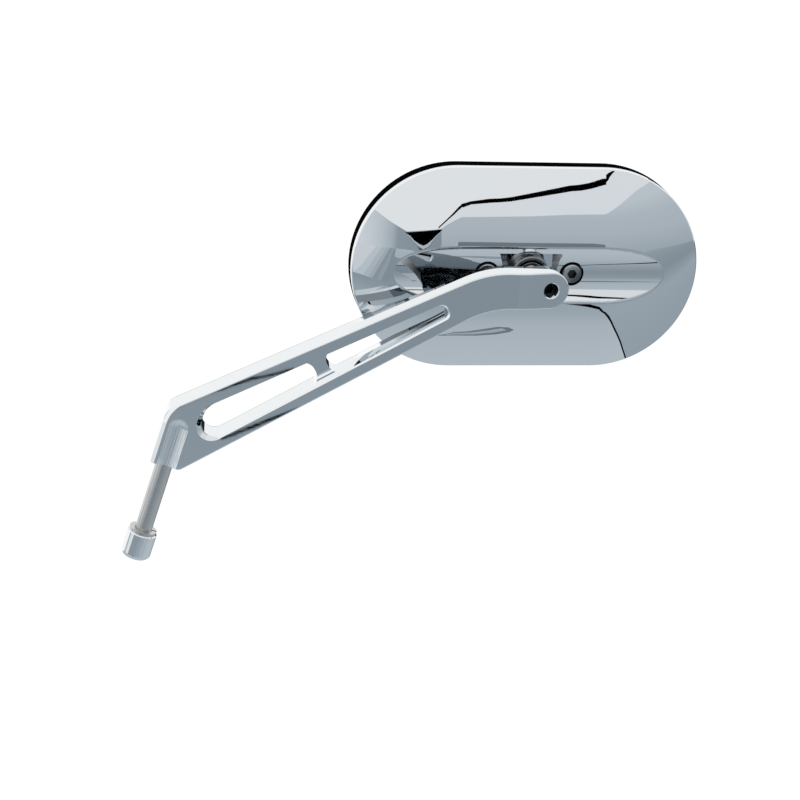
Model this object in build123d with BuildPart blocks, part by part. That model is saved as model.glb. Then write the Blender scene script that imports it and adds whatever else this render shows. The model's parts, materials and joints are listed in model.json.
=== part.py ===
from build123d import *
import os
from math import cos, radians, sin, sqrt, tan

# Motorcycle handlebar mirror: a billet arm on a threaded stud carries an oval head on a ball joint.
# Millimetres. The origin is the centre of the leg's base, on the stud's axis.
# +X points outboard, +Y towards the rider and +Z up. The head's back faces -Y.

# Arm: a tapered plate with two slots, a leaning leg and a tab that turns towards the rider
arm_thickness = 14.6
leg_width = 13.7
leg_lean = 15.5
leg_height = 26.4
leg_corner_radius = 8.5
leg_break = 1.6
leg_break_top = 0.3
leg_break_radius = 15.0
leg_break_reach = 60.0
base_corner_radius = 3.6
top_slope = 26.2
bottom_slope = 30.9
top_knee_radius = 47.0
bottom_knee_radius = 42.0
arm_edge_radius = 0.7
back_relief_start = 103.0
back_relief_run = 16.0
back_relief_depth = 3.1
back_relief_radius = 25.0
bend_lead = 1.4
bend_radius = 25.0
tab_angle = 14.0
tab_reach = 9.3
tab_height = 17.0
tab_level = 88.9

# Slots between the two rails of the arm, and the web that parts them
upper_rail_width = 5.8
lower_rail_width = 5.5
rail_taper = 0.45
slot_inner_end = 12.4
slot_outer_end = 126.6
slot_leg_upper_radius = 10.0
slot_leg_lower_radius = 6.0
slot_round_share = 0.46
slot_lead_leg = 2.0
slot_lead_rail = 0.75
slot_lead_radius = 6.8
break_angle = 45.0
web_place = 72.5
web_width = 6.2
web_front_recess = 3.5
web_face_rest = 0.5
web_back_recess = 2.0

# Flute milled into the front of the leg
flute_radius = 6.0
flute_depth = 2.2
flute_length = 24.2
flute_shift = 0.6

# Mounting stud, barrel nut and lock washer
stud_radius = 4.0
stud_depth = 14.0
thread_clearance = 0.03
grip_length = 35.0
stud_thread_radius = 3.6
nut_thread_length = 11.5
nut_radius = 6.9
nut_height = 13.0
nut_crown_radius = 2.4
nut_bore_clearance = 0.08
nut_bore_spare = 0.5
nut_hex = 6.0
nut_edge_break = 0.5
lock_washer_thickness = 1.5
lock_washer_outer = 6.4
lock_washer_clearance = 0.15
lock_washer_slit = 1.0
thread_chamfer = 0.8

# Ball stud, screwed into the tab
ball_radius = 6.5
ball_distance = 28.9
neck_radius = 3.3
shoulder_width = 11.0
shoulder_thickness = 3.0
shank_radius = 3.4
shank_recess = 3.6
shank_hex = 4.0
shank_chamfer = 0.6
shank_hex_depth = 3.0
tab_hole_break = 0.4

# Ball socket: two liner halves between the ball and the metal seats
socket_clearance = 0.12
liner_thickness = 1.0
liner_front_face = 4.6
liner_front_skirt = 1.2
liner_rear_skirt = 1.0
liner_rear_end = 5.9
collar_face = 4.9
collar_radius = 9.0
collar_edge_break = 0.6
collar_hole_clearance = 0.15
collar_bore_clearance = 0.2
collar_flange_radius = 11.5
collar_flange_thickness = 2.5
clamp_gap = 0.3
clamp_plate_end = 8.0
clamp_plate_width = 19.0
clamp_plate_thickness = 5.2
clamp_plate_break = 0.5

# Clamp screws, button heads sunk in the back of the head
screw_spacing = 40.0
screw_radius = 3.0
screw_head_radius = 5.25
screw_head_dome = 1.8
screw_head_height = 3.3
screw_head_level = 2.2
screw_hex = 4.0
screw_hex_depth = 2.2
screw_hole_clearance = 0.25
counterbore_clearance = 0.45
screw_washer_thickness = 1.0
screw_washer_outer = 5.5
screw_washer_clearance = 0.2
screw_tip_gap = 0.3
screw_tip_break = 0.6
screw_flat_radius = 3.2
screw_boss_radius = 8.0
screw_boss_gap = 0.5

# Head shell: a stadium with a domed back, hollow behind the glass
head_yaw = 5.0
head_width = 164.0
head_height = 96.0
dome_crest = 5.75
dome_rise = 12.27
rim_edge_radius = 1.2
rim_wall = 2.9
shell_wall = 2.5
cavity_edge_radius = 1.0
ledge_width = 2.5
recess_depth = 2.2

# Scoop along the head's back, and the drafted pocket round the ball
scoop_radius = 23.5
scoop_bottom = 1.1
scoop_edge_radius = 2.5
pocket_depth = 2.0
pocket_floor_thickness = 2.0
pocket_floor_length = 21.6
pocket_floor_height = 19.0
pocket_end_draft = 45.0
pocket_side_draft = 6.0
pocket_cut_height = 9.0
mount_block_end = 10.0
mount_block_height = 27.0
mount_block_corner = 6.0

# Mirror glass and the rubber edge that holds it
glass_thickness = 2.8
glass_clearance = 0.2
glass_wall = 1.8
glass_bevel = 0.5
pad_thickness = 0.8
pad_clearance = 0.2
gasket_wall = 1.5
gasket_seat = 5.8
gasket_fit = 0.05
gasket_lip = 1.0
gasket_edge_radius = 0.7
gasket_overlap = 2.0

# How far a cut runs past the metal
cut_margin = 1.0

half_thickness = arm_thickness / 2
tab_radius = tab_height / 2
tab_thickness = arm_thickness - back_relief_depth
head_radius = head_height / 2
straight_half = head_width / 2 - head_radius
dome_radius = (head_radius**2 + dome_rise**2) / (2 * dome_rise)
rim_step = dome_crest - dome_rise - rim_wall
rim_front = rim_step - gasket_seat
ledge_level = rim_front + recess_depth
pocket_floor = scoop_bottom - pocket_depth
liner_inner = ball_radius + socket_clearance
liner_outer = liner_inner + liner_thickness
seat_radius = liner_outer + socket_clearance
spigot_radius = head_radius - gasket_wall - gasket_fit
recess_radius = spigot_radius - glass_wall
glass_radius = recess_radius - glass_clearance
cavity_radius = recess_radius - ledge_width


def along(start, angle, distance):
    """The point at a distance from start, in a direction given in degrees from the first axis."""
    return (start[0] + distance * cos(radians(angle)), start[1] + distance * sin(radians(angle)))


def crossing(first, first_angle, second, second_angle):
    """Where two lines meet, each given by a point and a direction in degrees."""
    ux, uy = cos(radians(first_angle)), sin(radians(first_angle))
    vx, vy = cos(radians(second_angle)), sin(radians(second_angle))
    dx, dy = second[0] - first[0], second[1] - first[1]
    reach = (dx * vy - dy * vx) / (ux * vy - uy * vx)
    return (first[0] + reach * ux, first[1] + reach * uy)


def sphere_half_width(radius, level):
    """The radius of the circle that a plane cuts from a sphere about the origin."""
    return sqrt(radius**2 - level**2)


# Corners of the arm's front view
base_left = along((0, 0), 180 - leg_lean, leg_width / 2)
base_right = along((0, 0), -leg_lean, leg_width / 2)
tab_top = tab_level + tab_radius
tab_bottom = tab_level - tab_radius
leg_corner = along(base_left, 90 - leg_lean, leg_height)
top_knee = crossing(leg_corner, top_slope, (0, tab_top), 0)
bottom_knee = crossing(base_right, bottom_slope, (0, tab_bottom), 0)
top_blend_end = top_knee[0] + top_knee_radius * tan(radians(top_slope / 2))
bottom_blend_end = bottom_knee[0] + bottom_knee_radius * tan(radians(bottom_slope / 2))
bend_start = max(top_blend_end, bottom_blend_end) + bend_lead

# Frames: the leg's base, the tab's front face at the stud's hole, and the head at the ball's centre
lean_x, lean_z = sin(radians(leg_lean)), cos(radians(leg_lean))
base_plane = Plane(origin=(0, 0, 0), x_dir=(lean_z, 0, -lean_x), z_dir=(lean_x, 0, lean_z))

tab_cos, tab_sin = cos(radians(tab_angle)), sin(radians(tab_angle))
bend_axis_y = bend_radius - half_thickness
tab_x = bend_start + bend_radius * tab_sin + tab_reach * tab_cos
tab_y = bend_axis_y - bend_radius * tab_cos + tab_reach * tab_sin
stud_way = Vector(tab_sin, -tab_cos, 0)
tab_plane = Plane(origin=(tab_x, tab_y, tab_level), x_dir=(tab_cos, tab_sin, 0), z_dir=stud_way)

ball_centre = tab_plane.origin - stud_way * ball_distance
ball_plane = Plane(origin=ball_centre, x_dir=tab_plane.x_dir, z_dir=stud_way)
ball_section = Plane(origin=ball_centre, x_dir=tab_plane.x_dir, z_dir=(0, 0, -1))

head_x = Vector(cos(radians(head_yaw)), sin(radians(head_yaw)), 0)
head_out = Vector(sin(radians(head_yaw)), -cos(radians(head_yaw)), 0)
head_plane = Plane(origin=ball_centre, x_dir=head_x, z_dir=head_out)
head_section = Plane(origin=ball_centre, x_dir=(0, 0, 1), z_dir=head_x)
head_profile = Plane(origin=ball_centre, x_dir=head_x, z_dir=(0, 0, -1))
head_axis = Axis(ball_centre, head_out)
stud_axis = Axis(ball_centre, stud_way)
base_section = Plane(origin=(0, 0, 0), x_dir=base_plane.x_dir, z_dir=(0, -1, 0))
base_axis = Axis((0, 0, 0), base_plane.z_dir)

screw_places = [(-screw_spacing / 2, 0), (screw_spacing / 2, 0)]
screw_seat = screw_head_level - screw_head_height
counterbore_floor = screw_seat - screw_washer_thickness
collar_flange_top = pocket_floor - pocket_floor_thickness
collar_bottom = collar_flange_top - collar_flange_thickness
clamp_top = collar_bottom - clamp_gap
clamp_bottom = clamp_top - clamp_plate_thickness
glass_back = ledge_level - pad_thickness
glass_front = glass_back - glass_thickness
gasket_front = glass_front - gasket_lip

# Lines of the two slots
upper_rail = along(leg_corner, top_slope - 90, upper_rail_width)
lower_rail = along(base_right, bottom_slope + 90, lower_rail_width)
slot_top_slope = top_slope + rail_taper
mid_slope = (top_slope + bottom_slope) / 2
web_lean = mid_slope + 90


def slot_corners(inner_place, inner_angle, outer_place, outer_angle):
    """Corners of a slot between the rails, from the inner end's line to the outer end's line."""
    inner = crossing(lower_rail, bottom_slope, (inner_place, 0), 90)
    outer = crossing(lower_rail, bottom_slope, (outer_place, 0), 90)
    return [
        crossing(inner, inner_angle, lower_rail, bottom_slope),
        crossing(outer, outer_angle, lower_rail, bottom_slope),
        crossing(outer, outer_angle, upper_rail, slot_top_slope),
        crossing(inner, inner_angle, upper_rail, slot_top_slope),
    ]


def round_corner(sketch, corner, radius):
    """Rounds the one corner of a sketch that lies at the given place."""
    fillet(sketch.vertices().sort_by_distance(corner)[0], radius)


def boundary_edges(faces):
    """The edges round a group of faces, without those between two of them."""
    edges = [edge for face in faces for edge in face.edges()]
    return [edge for edge in edges if sum(edge.is_same(other) for other in edges) == 1]


web_half_run = web_width / 2 / cos(radians(bottom_slope - mid_slope)) * cos(radians(bottom_slope))
web_inner_side = web_place - web_half_run
web_outer_side = web_place + web_half_run
inner_slot = slot_corners(slot_inner_end, 90 - leg_lean, web_inner_side, web_lean)
outer_slot = slot_corners(web_outer_side, web_lean, slot_outer_end, web_lean)
web_inner_radius = (Vector(inner_slot[2]) - Vector(inner_slot[1])).length * slot_round_share
web_outer_radius = (Vector(outer_slot[3]) - Vector(outer_slot[0])).length * slot_round_share
slot_tip_radius = (Vector(outer_slot[2]) - Vector(outer_slot[1])).length * slot_round_share
web_recess = slot_corners(
    web_inner_side - web_inner_radius, web_lean, web_outer_side + web_outer_radius, web_lean
)


def above_rail(height):
    """The two points at a height above the lower rail, on the sides of the web's recess."""
    level = along(lower_rail, bottom_slope + 90, height)
    return [crossing(corner, web_lean, level, bottom_slope) for corner in web_recess[:2]]


web_slope = [*web_recess[:2], *reversed(above_rail(2 * web_front_recess + web_face_rest))]
web_face = [*above_rail(web_front_recess), *web_recess[2:]]
# Outline of the tapered cut that breaks the slots' front edges, widest at the leg
lead_start = along(inner_slot[0], 180 - leg_lean, slot_lead_leg)
lead_low = along(inner_slot[0], bottom_slope - 90, slot_lead_rail)
lead_end = along(outer_slot[1], mid_slope, slot_lead_rail)
slot_lead = [
    crossing(lead_start, 90 - leg_lean, lead_low, bottom_slope),
    crossing(lead_end, web_lean, lead_low, bottom_slope),
    crossing(lead_end, web_lean, upper_rail, slot_top_slope),
    crossing(lead_start, 90 - leg_lean, upper_rail, slot_top_slope),
]
flute_offset = half_thickness + flute_radius - flute_depth
flute_straight = flute_length - sphere_half_width(flute_radius, flute_radius - flute_depth)
flute_centre = base_plane.from_local_coords((flute_shift, -flute_offset, 0))
flute_overrun = leg_width / 2 + cut_margin

# What the broken outer front edge of the leg takes away: a block less the tapered front that stays
front_side = along(base_left, -leg_lean, leg_break)
front_top = along(leg_corner, top_slope - 90, leg_break_top)
front_corner = crossing(front_side, 90 - leg_lean, front_top, top_slope)
front_foot = along(front_side, -90 - leg_lean, leg_break_reach)
with BuildPart() as leg_trim:
    with BuildSketch(Plane.XZ.offset(half_thickness)):
        Polygon(
            along(base_left, -90 - leg_lean, cut_margin), base_right, along(leg_corner, top_slope, leg_width),
            along(leg_corner, 180 - leg_lean, cut_margin), align=None,
        )
    extrude(amount=-leg_break)
    with BuildSketch(Plane.XZ.offset(half_thickness)) as kept_front:
        Polygon(
            front_foot, along(front_foot, 0, leg_break_reach), along(front_corner, top_slope, leg_break_reach),
            front_corner, align=None,
        )
        round_corner(kept_front, front_corner, leg_break_radius)
    extrude(amount=-leg_break, taper=-break_angle, mode=Mode.SUBTRACT)

with BuildPart() as arm:
    with BuildSketch(Plane.XZ) as outline:
        Polygon(
            base_left, base_right, bottom_knee, (bend_start, tab_bottom),
            (bend_start, tab_top), top_knee, leg_corner, align=None,
        )
        round_corner(outline, leg_corner, leg_corner_radius)
        round_corner(outline, base_right, base_corner_radius)
        round_corner(outline, top_knee, top_knee_radius)
        round_corner(outline, bottom_knee, bottom_knee_radius)
    extrude(amount=half_thickness, both=True)
    # The back is milled thinner towards the tab
    with BuildSketch(Plane.XY) as relief:
        relief_end = back_relief_start + back_relief_run
        relieved = half_thickness - back_relief_depth
        Polygon(
            (back_relief_start, half_thickness), (relief_end, relieved), (bend_start + cut_margin, relieved),
            (bend_start + cut_margin, half_thickness + cut_margin), (back_relief_start, half_thickness + cut_margin),
            align=None,
        )
        round_corner(relief, (relief_end, relieved), back_relief_radius)
    extrude(amount=tab_top + cut_margin, mode=Mode.SUBTRACT)
    # The end turns towards the rider
    with BuildSketch(Plane.YZ.offset(bend_start)):
        with Locations((-half_thickness, tab_level)):
            Rectangle(tab_thickness, tab_height, align=(Align.MIN, Align.CENTER))
    revolve(axis=Axis((bend_start, bend_axis_y, 0), (0, 0, 1)), revolution_arc=tab_angle)
    with BuildSketch(tab_plane):
        Rectangle(tab_reach, tab_height, align=(Align.MAX, Align.CENTER))
        Circle(tab_radius)
    extrude(amount=-tab_thickness)
    front = arm.faces().filter_by(lambda face: face.normal_at().Y < -0.9)
    fillet(boundary_edges(front), arm_edge_radius)
    add(leg_trim.part, mode=Mode.SUBTRACT)
    # The web's front: a face set back, and a slope that rises to it from the lower rail
    with BuildSketch(Plane.XZ.offset(half_thickness)):
        Polygon(*web_face, align=None)
    extrude(amount=-web_front_recess, mode=Mode.SUBTRACT)
    with BuildSketch(Plane.XZ.offset(half_thickness)):
        Polygon(*web_slope, align=None)
    extrude(amount=-web_front_recess, taper=break_angle, mode=Mode.SUBTRACT)
    # Slots, and their broken front edges
    with BuildSketch(Plane.XZ) as inner_hole:
        Polygon(*inner_slot, align=None)
        round_corner(inner_hole, inner_slot[0], slot_leg_lower_radius)
        round_corner(inner_hole, inner_slot[3], slot_leg_upper_radius)
        round_corner(inner_hole, inner_slot[1], web_inner_radius)
        round_corner(inner_hole, inner_slot[2], web_inner_radius)
    extrude(amount=half_thickness, both=True, mode=Mode.SUBTRACT)
    with BuildSketch(Plane.XZ) as outer_hole:
        Polygon(*outer_slot, align=None)
        round_corner(outer_hole, outer_slot[0], web_outer_radius)
        round_corner(outer_hole, outer_slot[3], web_outer_radius)
        round_corner(outer_hole, outer_slot[1], slot_tip_radius)
        round_corner(outer_hole, outer_slot[2], slot_tip_radius)
    extrude(amount=half_thickness, both=True, mode=Mode.SUBTRACT)
    with BuildSketch(Plane.XZ.offset(-half_thickness)):
        Polygon(*web_recess, align=None)
    extrude(amount=web_back_recess, mode=Mode.SUBTRACT)
    with BuildSketch(Plane.XZ.offset(half_thickness)) as lead:
        Polygon(*slot_lead, align=None)
        round_corner(lead, slot_lead[0], slot_lead_radius)
        round_corner(lead, slot_lead[1], slot_tip_radius)
        round_corner(lead, slot_lead[2], slot_tip_radius)
        round_corner(lead, slot_lead[3], slot_leg_upper_radius + slot_lead_leg)
    extrude(amount=-slot_lead_leg, taper=break_angle, mode=Mode.SUBTRACT)
    # Flute in the leg's front, ended by the ball of its cutter
    with BuildSketch(base_section.offset(flute_offset)):
        with BuildLine():
            Polyline(
                (flute_shift, flute_straight + flute_radius), (flute_shift, -flute_overrun),
                (flute_shift + flute_radius, -flute_overrun), (flute_shift + flute_radius, flute_straight),
            )
            RadiusArc(
                (flute_shift + flute_radius, flute_straight),
                (flute_shift, flute_straight + flute_radius), -flute_radius,
            )
        make_face()
    revolve(axis=Axis(flute_centre, base_plane.z_dir), mode=Mode.SUBTRACT)
    # Threaded holes for the mounting stud and the ball stud
    with BuildSketch(base_plane):
        Circle(stud_thread_radius + thread_clearance)
    extrude(amount=stud_depth + thread_clearance, mode=Mode.SUBTRACT)
    with BuildSketch(tab_plane):
        Circle(shank_radius + thread_clearance)
    extrude(amount=-tab_thickness, mode=Mode.SUBTRACT)
    tab_hole_edges = arm.edges().filter_by(GeomType.CIRCLE)
    chamfer(tab_hole_edges.sort_by_distance(tab_plane.origin)[0], tab_hole_break)
arm.part.label = "arm"

# Mounting stud: a plain shank for the clamp's bore, threaded at both ends
nut_top = -grip_length - lock_washer_thickness
stud_end = -grip_length - nut_thread_length
with BuildPart() as mounting_stud:
    with BuildSketch(base_section):
        Polygon(
            (0, stud_depth), (0, stud_end), (stud_thread_radius - thread_chamfer, stud_end),
            (stud_thread_radius, stud_end + thread_chamfer), (stud_thread_radius, -grip_length),
            (stud_radius, -grip_length), (stud_radius, 0), (stud_thread_radius, 0),
            (stud_thread_radius, stud_depth - thread_chamfer),
            (stud_thread_radius - thread_chamfer, stud_depth), align=None,
        )
    revolve(axis=base_axis)
mounting_stud.part.label = "mounting_stud"

with BuildPart() as stud_nut:
    with BuildSketch(base_section) as nut_profile:
        nut_bore = stud_thread_radius + nut_bore_clearance
        nut_bottom = nut_top - nut_height
        bore_end = stud_end - nut_bore_spare
        Polygon(
            (nut_bore, nut_top), (nut_bore, bore_end), (0, bore_end), (0, nut_bottom),
            (nut_radius, nut_bottom), (nut_radius, nut_top), align=None,
        )
        round_corner(nut_profile, (nut_radius, nut_bottom), nut_crown_radius)
    revolve(axis=base_axis)
    with BuildSketch(base_plane.offset(nut_bottom)):
        RegularPolygon(nut_hex / 2, 6, major_radius=False)
    extrude(amount=nut_height, mode=Mode.SUBTRACT)
    chamfer(stud_nut.edges().filter_by(GeomType.CIRCLE).group_by(base_axis)[-1], nut_edge_break)
stud_nut.part.label = "stud_nut"

with BuildPart() as lock_washer:
    with BuildSketch(base_plane.offset(nut_top)):
        Circle(lock_washer_outer)
        Circle(stud_radius + lock_washer_clearance, mode=Mode.SUBTRACT)
        with Locations((lock_washer_outer, 0)):
            Rectangle(lock_washer_outer, lock_washer_slit, mode=Mode.SUBTRACT)
    extrude(amount=lock_washer_thickness)
lock_washer.part.label = "lock_washer"

# Ball stud: ball, neck, hexagon shoulder and the threaded shank in the tab
tab_back = ball_distance - tab_thickness
shank_end = ball_distance - shank_recess
neck_start = sphere_half_width(ball_radius, neck_radius)
with BuildPart() as ball_stud:
    with BuildSketch(ball_section):
        with BuildLine():
            ThreePointArc((0, -ball_radius), (ball_radius, 0), (neck_radius, neck_start))
            Polyline((neck_radius, neck_start), (neck_radius, tab_back), (shank_radius, tab_back),
                     (shank_radius, shank_end - shank_chamfer), (shank_radius - shank_chamfer, shank_end),
                     (0, shank_end), (0, -ball_radius))
        make_face()
    revolve(axis=stud_axis)
    with BuildSketch(ball_plane.offset(tab_back)):
        RegularPolygon(shoulder_width / 2, 6, major_radius=False)
    extrude(amount=-shoulder_thickness)
    with BuildSketch(ball_plane.offset(shank_end)):
        RegularPolygon(shank_hex / 2, 6, major_radius=False)
    extrude(amount=-shank_hex_depth, mode=Mode.SUBTRACT)
ball_stud.part.label = "ball_stud"


def socket_liner(lower, upper):
    """Half of the ball's liner: the zone between two spheres, cut by two planes square to the axis."""
    middle = (lower + upper) / 2
    inner_points = [(sphere_half_width(liner_inner, level), level) for level in (lower, middle, upper)]
    outer_points = [(sphere_half_width(liner_outer, level), level) for level in (upper, middle, lower)]
    with BuildPart() as liner:
        with BuildSketch(head_profile):
            with BuildLine():
                ThreePointArc(*inner_points)
                Line(inner_points[-1], outer_points[0])
                ThreePointArc(*outer_points)
                Line(outer_points[-1], inner_points[0])
            make_face()
        revolve(axis=head_axis)
    return liner


socket_liner_front = socket_liner(liner_front_skirt, liner_front_face)
socket_liner_front.part.label = "socket_liner_front"
socket_liner_rear = socket_liner(-liner_rear_end, -liner_rear_skirt)
socket_liner_rear.part.label = "socket_liner_rear"

# Collar: a ring seat that passes through the pocket's floor and bears on the floor's inner side
collar_bore = seat_radius + collar_bore_clearance
with BuildPart() as socket_collar:
    with BuildSketch(head_profile):
        seat_edge = sphere_half_width(seat_radius, collar_face)
        with BuildLine():
            ThreePointArc(
                (seat_edge, collar_face),
                (sphere_half_width(seat_radius, collar_face / 2), collar_face / 2),
                (seat_radius, 0),
            )
            Polyline(
                (seat_radius, 0), (collar_bore, 0), (collar_bore, collar_bottom),
                (collar_flange_radius, collar_bottom), (collar_flange_radius, collar_flange_top),
                (collar_radius, collar_flange_top), (collar_radius, collar_face - collar_edge_break),
                (collar_radius - collar_edge_break, collar_face), (seat_edge, collar_face),
            )
        make_face()
    revolve(axis=head_axis)
socket_collar.part.label = "socket_collar"

# Clamp plate: dished for the rear liner, tapped for the two screws
with BuildPart() as clamp_plate:
    with BuildSketch(head_plane.offset(clamp_bottom)):
        SlotOverall(screw_spacing + 2 * clamp_plate_end, clamp_plate_width)
    extrude(amount=clamp_plate_thickness)
    chamfer(clamp_plate.edges(), clamp_plate_break)
    with BuildSketch(head_plane.offset(clamp_bottom)):
        with Locations(*screw_places):
            Circle(screw_radius + thread_clearance)
    extrude(amount=clamp_plate_thickness, mode=Mode.SUBTRACT)
    with BuildSketch(head_profile):
        with BuildLine():
            Polyline((0, clamp_top), (0, -seat_radius))
            ThreePointArc(
                (0, -seat_radius),
                (sphere_half_width(seat_radius, (clamp_top - seat_radius) / 2), (clamp_top - seat_radius) / 2),
                (sphere_half_width(seat_radius, clamp_top), clamp_top),
            )
            Line((sphere_half_width(seat_radius, clamp_top), clamp_top), (0, clamp_top))
        make_face()
    revolve(axis=head_axis, mode=Mode.SUBTRACT)
clamp_plate.part.label = "clamp_plate"


def clamp_screw(place):
    """Button-head screw with a hexagon socket, from its head's top to its tip in the clamp plate."""
    at_place = Plane(origin=head_plane.from_local_coords((*place, 0)), x_dir=head_x, z_dir=head_out)
    profile = Plane(origin=at_place.origin, x_dir=head_x, z_dir=(0, 0, -1))
    tip = clamp_bottom + screw_tip_gap
    head_rim = screw_seat + screw_head_height - screw_head_dome
    with BuildPart() as screw:
        with BuildSketch(profile):
            with BuildLine():
                Polyline((0, screw_head_level), (0, tip), (screw_radius - screw_tip_break, tip),
                         (screw_radius, tip + screw_tip_break), (screw_radius, screw_seat),
                         (screw_head_radius, screw_seat), (screw_head_radius, head_rim))
                TangentArc((screw_head_radius, head_rim), (screw_flat_radius, screw_head_level), tangent=(0, 1))
                Line((screw_flat_radius, screw_head_level), (0, screw_head_level))
            make_face()
        revolve(axis=Axis(at_place.origin, head_out))
        with BuildSketch(at_place.offset(screw_head_level)):
            RegularPolygon(screw_hex / 2, 6, major_radius=False)
        extrude(amount=-screw_hex_depth, mode=Mode.SUBTRACT)
    return screw


def screw_washer(place):
    """Sealing washer between a screw's head and the counterbore's floor."""
    with BuildPart() as washer:
        with BuildSketch(head_plane.offset(counterbore_floor)):
            with Locations(place):
                Circle(screw_washer_outer)
                Circle(screw_radius + screw_washer_clearance, mode=Mode.SUBTRACT)
        extrude(amount=screw_washer_thickness)
    return washer


clamp_screw_left = clamp_screw(screw_places[0])
clamp_screw_left.part.label = "clamp_screw_left"
clamp_screw_right = clamp_screw(screw_places[1])
clamp_screw_right.part.label = "clamp_screw_right"
screw_washer_left = screw_washer(screw_places[0])
screw_washer_left.part.label = "screw_washer_left"
screw_washer_right = screw_washer(screw_places[1])
screw_washer_right.part.label = "screw_washer_right"


def domed_stadium(radius, bottom, crest, crown, edge_radius):
    """Stadium block with a flat bottom and a back domed by an arc; each end is half a turn of the section."""
    shoulder = crest - crown + sqrt(crown**2 - radius**2)
    half_rise = crest - crown + sqrt(crown**2 - radius**2 / 4)
    with BuildPart() as block:
        with BuildSketch(head_section) as across:
            with BuildLine():
                Polyline((-radius, shoulder), (-radius, bottom), (radius, bottom), (radius, shoulder))
                ThreePointArc((radius, shoulder), (0, crest), (-radius, shoulder))
            make_face()
            round_corner(across, (radius, shoulder), edge_radius)
            round_corner(across, (-radius, shoulder), edge_radius)
        extrude(amount=straight_half, both=True)
        for side in (-1, 1):
            with BuildSketch(head_section.offset(side * straight_half)) as half:
                with BuildLine():
                    Polyline((0, crest), (0, bottom), (radius, bottom), (radius, shoulder))
                    ThreePointArc((radius, shoulder), (radius / 2, half_rise), (0, crest))
                make_face()
                round_corner(half, (radius, shoulder), edge_radius)
            end_axis = Axis(ball_centre + head_x * straight_half * side, head_out * -side)
            revolve(axis=end_axis, revolution_arc=180)
    return block.part


def stadium_prism(radius, lower, upper):
    """Straight stadium block of the head's outline, between two levels."""
    with BuildPart() as block:
        with BuildSketch(head_plane.offset(lower)):
            SlotCenterToCenter(2 * straight_half, 2 * radius)
        extrude(amount=upper - lower)
    return block.part


# Hollow of the head: the wall follows the dome and the scoop, and metal stays round the ball and screws
with BuildPart() as cavity:
    add(domed_stadium(
        cavity_radius, ledge_level, dome_crest - shell_wall, dome_radius - shell_wall, cavity_edge_radius
    ))
    with BuildSketch(head_section):
        with Locations((0, scoop_bottom + scoop_radius)):
            Circle(scoop_radius + shell_wall)
    extrude(amount=head_width / 2, both=True, mode=Mode.SUBTRACT)
    with BuildSketch(head_plane.offset(collar_flange_top)):
        RectangleRounded(screw_spacing + 2 * mount_block_end, mount_block_height, mount_block_corner)
    extrude(amount=dome_crest - collar_flange_top, mode=Mode.SUBTRACT)
    with BuildSketch(head_plane.offset(clamp_top + screw_boss_gap)):
        with Locations(*screw_places):
            Circle(screw_boss_radius)
    extrude(amount=dome_crest - clamp_top, mode=Mode.SUBTRACT)

with BuildPart() as head_shell:
    add(domed_stadium(head_radius, rim_step, dome_crest, dome_radius, rim_edge_radius))
    add(stadium_prism(spigot_radius, rim_front, rim_step))
    with BuildSketch(head_section):
        with Locations((0, scoop_bottom + scoop_radius)):
            Circle(scoop_radius)
    extrude(amount=head_width / 2, both=True, mode=Mode.SUBTRACT)
    scoop_face = head_shell.faces().filter_by(GeomType.CYLINDER).sort_by_distance(ball_centre)[0]
    fillet(scoop_face.edges(), scoop_edge_radius)
    # Drafted pocket round the ball
    with BuildSketch(head_plane.offset(pocket_floor)):
        Rectangle(pocket_floor_length, pocket_floor_height)
    with BuildSketch(head_plane.offset(pocket_floor + pocket_cut_height)):
        Rectangle(
            pocket_floor_length + 2 * pocket_cut_height * tan(radians(pocket_end_draft)),
            pocket_floor_height + 2 * pocket_cut_height * tan(radians(pocket_side_draft)),
        )
    loft(mode=Mode.SUBTRACT)
    add(cavity.part, mode=Mode.SUBTRACT)
    add(stadium_prism(recess_radius, rim_front, ledge_level), mode=Mode.SUBTRACT)
    with BuildSketch(head_plane.offset(collar_flange_top)):
        Circle(collar_radius + collar_hole_clearance)
    extrude(amount=pocket_floor_thickness, mode=Mode.SUBTRACT)
    with BuildSketch(head_plane.offset(counterbore_floor)):
        with Locations(*screw_places):
            Circle(screw_head_radius + counterbore_clearance)
    extrude(amount=dome_crest - counterbore_floor, mode=Mode.SUBTRACT)
    with BuildSketch(head_plane.offset(clamp_top + screw_boss_gap)):
        with Locations(*screw_places):
            Circle(screw_radius + screw_hole_clearance)
    extrude(amount=counterbore_floor - clamp_top, mode=Mode.SUBTRACT)
head_shell.part.label = "head_shell"

with BuildPart() as mirror_glass:
    add(stadium_prism(glass_radius, glass_front, glass_back))
    chamfer(mirror_glass.edges().group_by(head_axis)[0], glass_bevel)
mirror_glass.part.label = "mirror_glass"

with BuildPart() as glass_pad:
    add(stadium_prism(glass_radius, glass_back, ledge_level))
    add(stadium_prism(cavity_radius + pad_clearance, glass_back, ledge_level), mode=Mode.SUBTRACT)
glass_pad.part.label = "glass_pad"

# Rubber edge: stretched over the shell's spigot, its lip over the glass
with BuildPart() as glass_gasket:
    add(stadium_prism(head_radius, gasket_front, rim_step))
    fillet(glass_gasket.edges().group_by(head_axis)[0], gasket_edge_radius)
    add(stadium_prism(head_radius - gasket_wall, rim_front, rim_step), mode=Mode.SUBTRACT)
    add(stadium_prism(recess_radius, glass_front, rim_front), mode=Mode.SUBTRACT)
    add(stadium_prism(glass_radius - gasket_overlap, gasket_front, glass_front), mode=Mode.SUBTRACT)
glass_gasket.part.label = "glass_gasket"

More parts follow.
